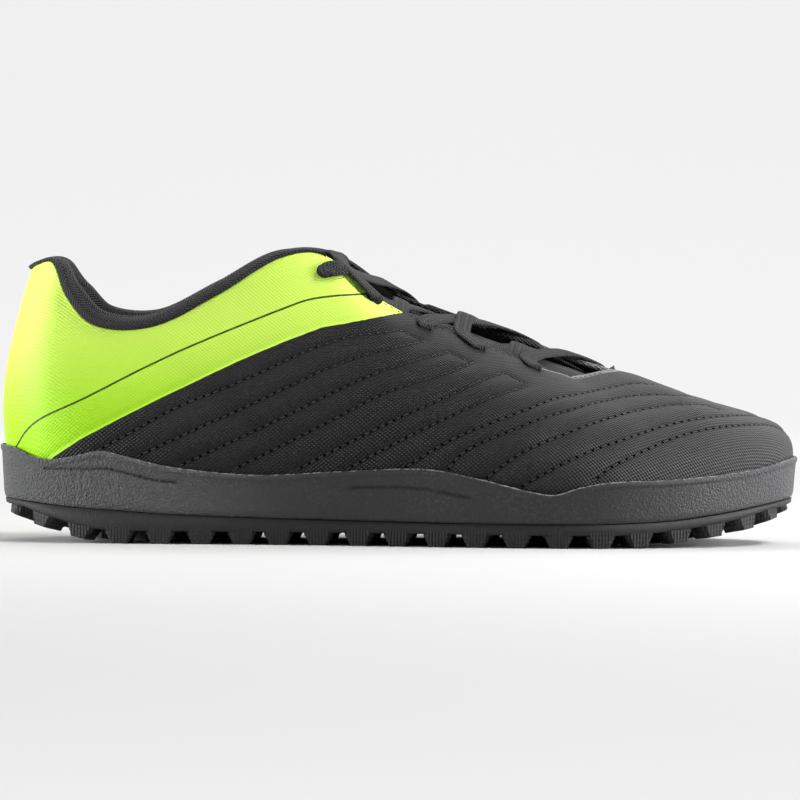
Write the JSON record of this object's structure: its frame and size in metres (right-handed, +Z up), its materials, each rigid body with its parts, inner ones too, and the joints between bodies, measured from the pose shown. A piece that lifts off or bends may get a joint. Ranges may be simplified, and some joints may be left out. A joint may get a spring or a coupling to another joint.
{
  "type": "turf shoe",
  "caption": "Low-cut lace-up turf shoe with a padded collar, a quilted forepart and a cupped rubber sole with small lugs.",
  "frame": {"origin": "below the middle of the shoe's box, on the ground that the lugs stand on", "axes": "+X from heel to toe, +Y to the medial side, +Z up"},
  "size_m": [0.284, 0.1024, 0.1055],
  "materials": {
    "tread_rubber": "matt dark grey rubber",
    "cup_rubber": "grained dark grey rubber",
    "upper_synthetic": "finely embossed coated synthetic, black forepart and lime heel",
    "insole_fabric": "brushed dark textile over foam",
    "tongue_fabric": "dark textile",
    "collar_knit": "padded dark knit",
    "lace_cord": "flat woven polyester lace, ribbed"
  },
  "bodies": {
    "root": {"outsole": "tread_rubber", "midsole": "cup_rubber", "upper": "upper_synthetic", "insole": "insole_fabric", "tongue": "tongue_fabric", "collar": "collar_knit", "lace_cross_1": "lace_cord", "lace_cross_2": "lace_cord", "lace_cross_3": "lace_cord", "lace_cross_4": "lace_cord", "lace_bar": "lace_cord"}
  },
  "joints": []
}
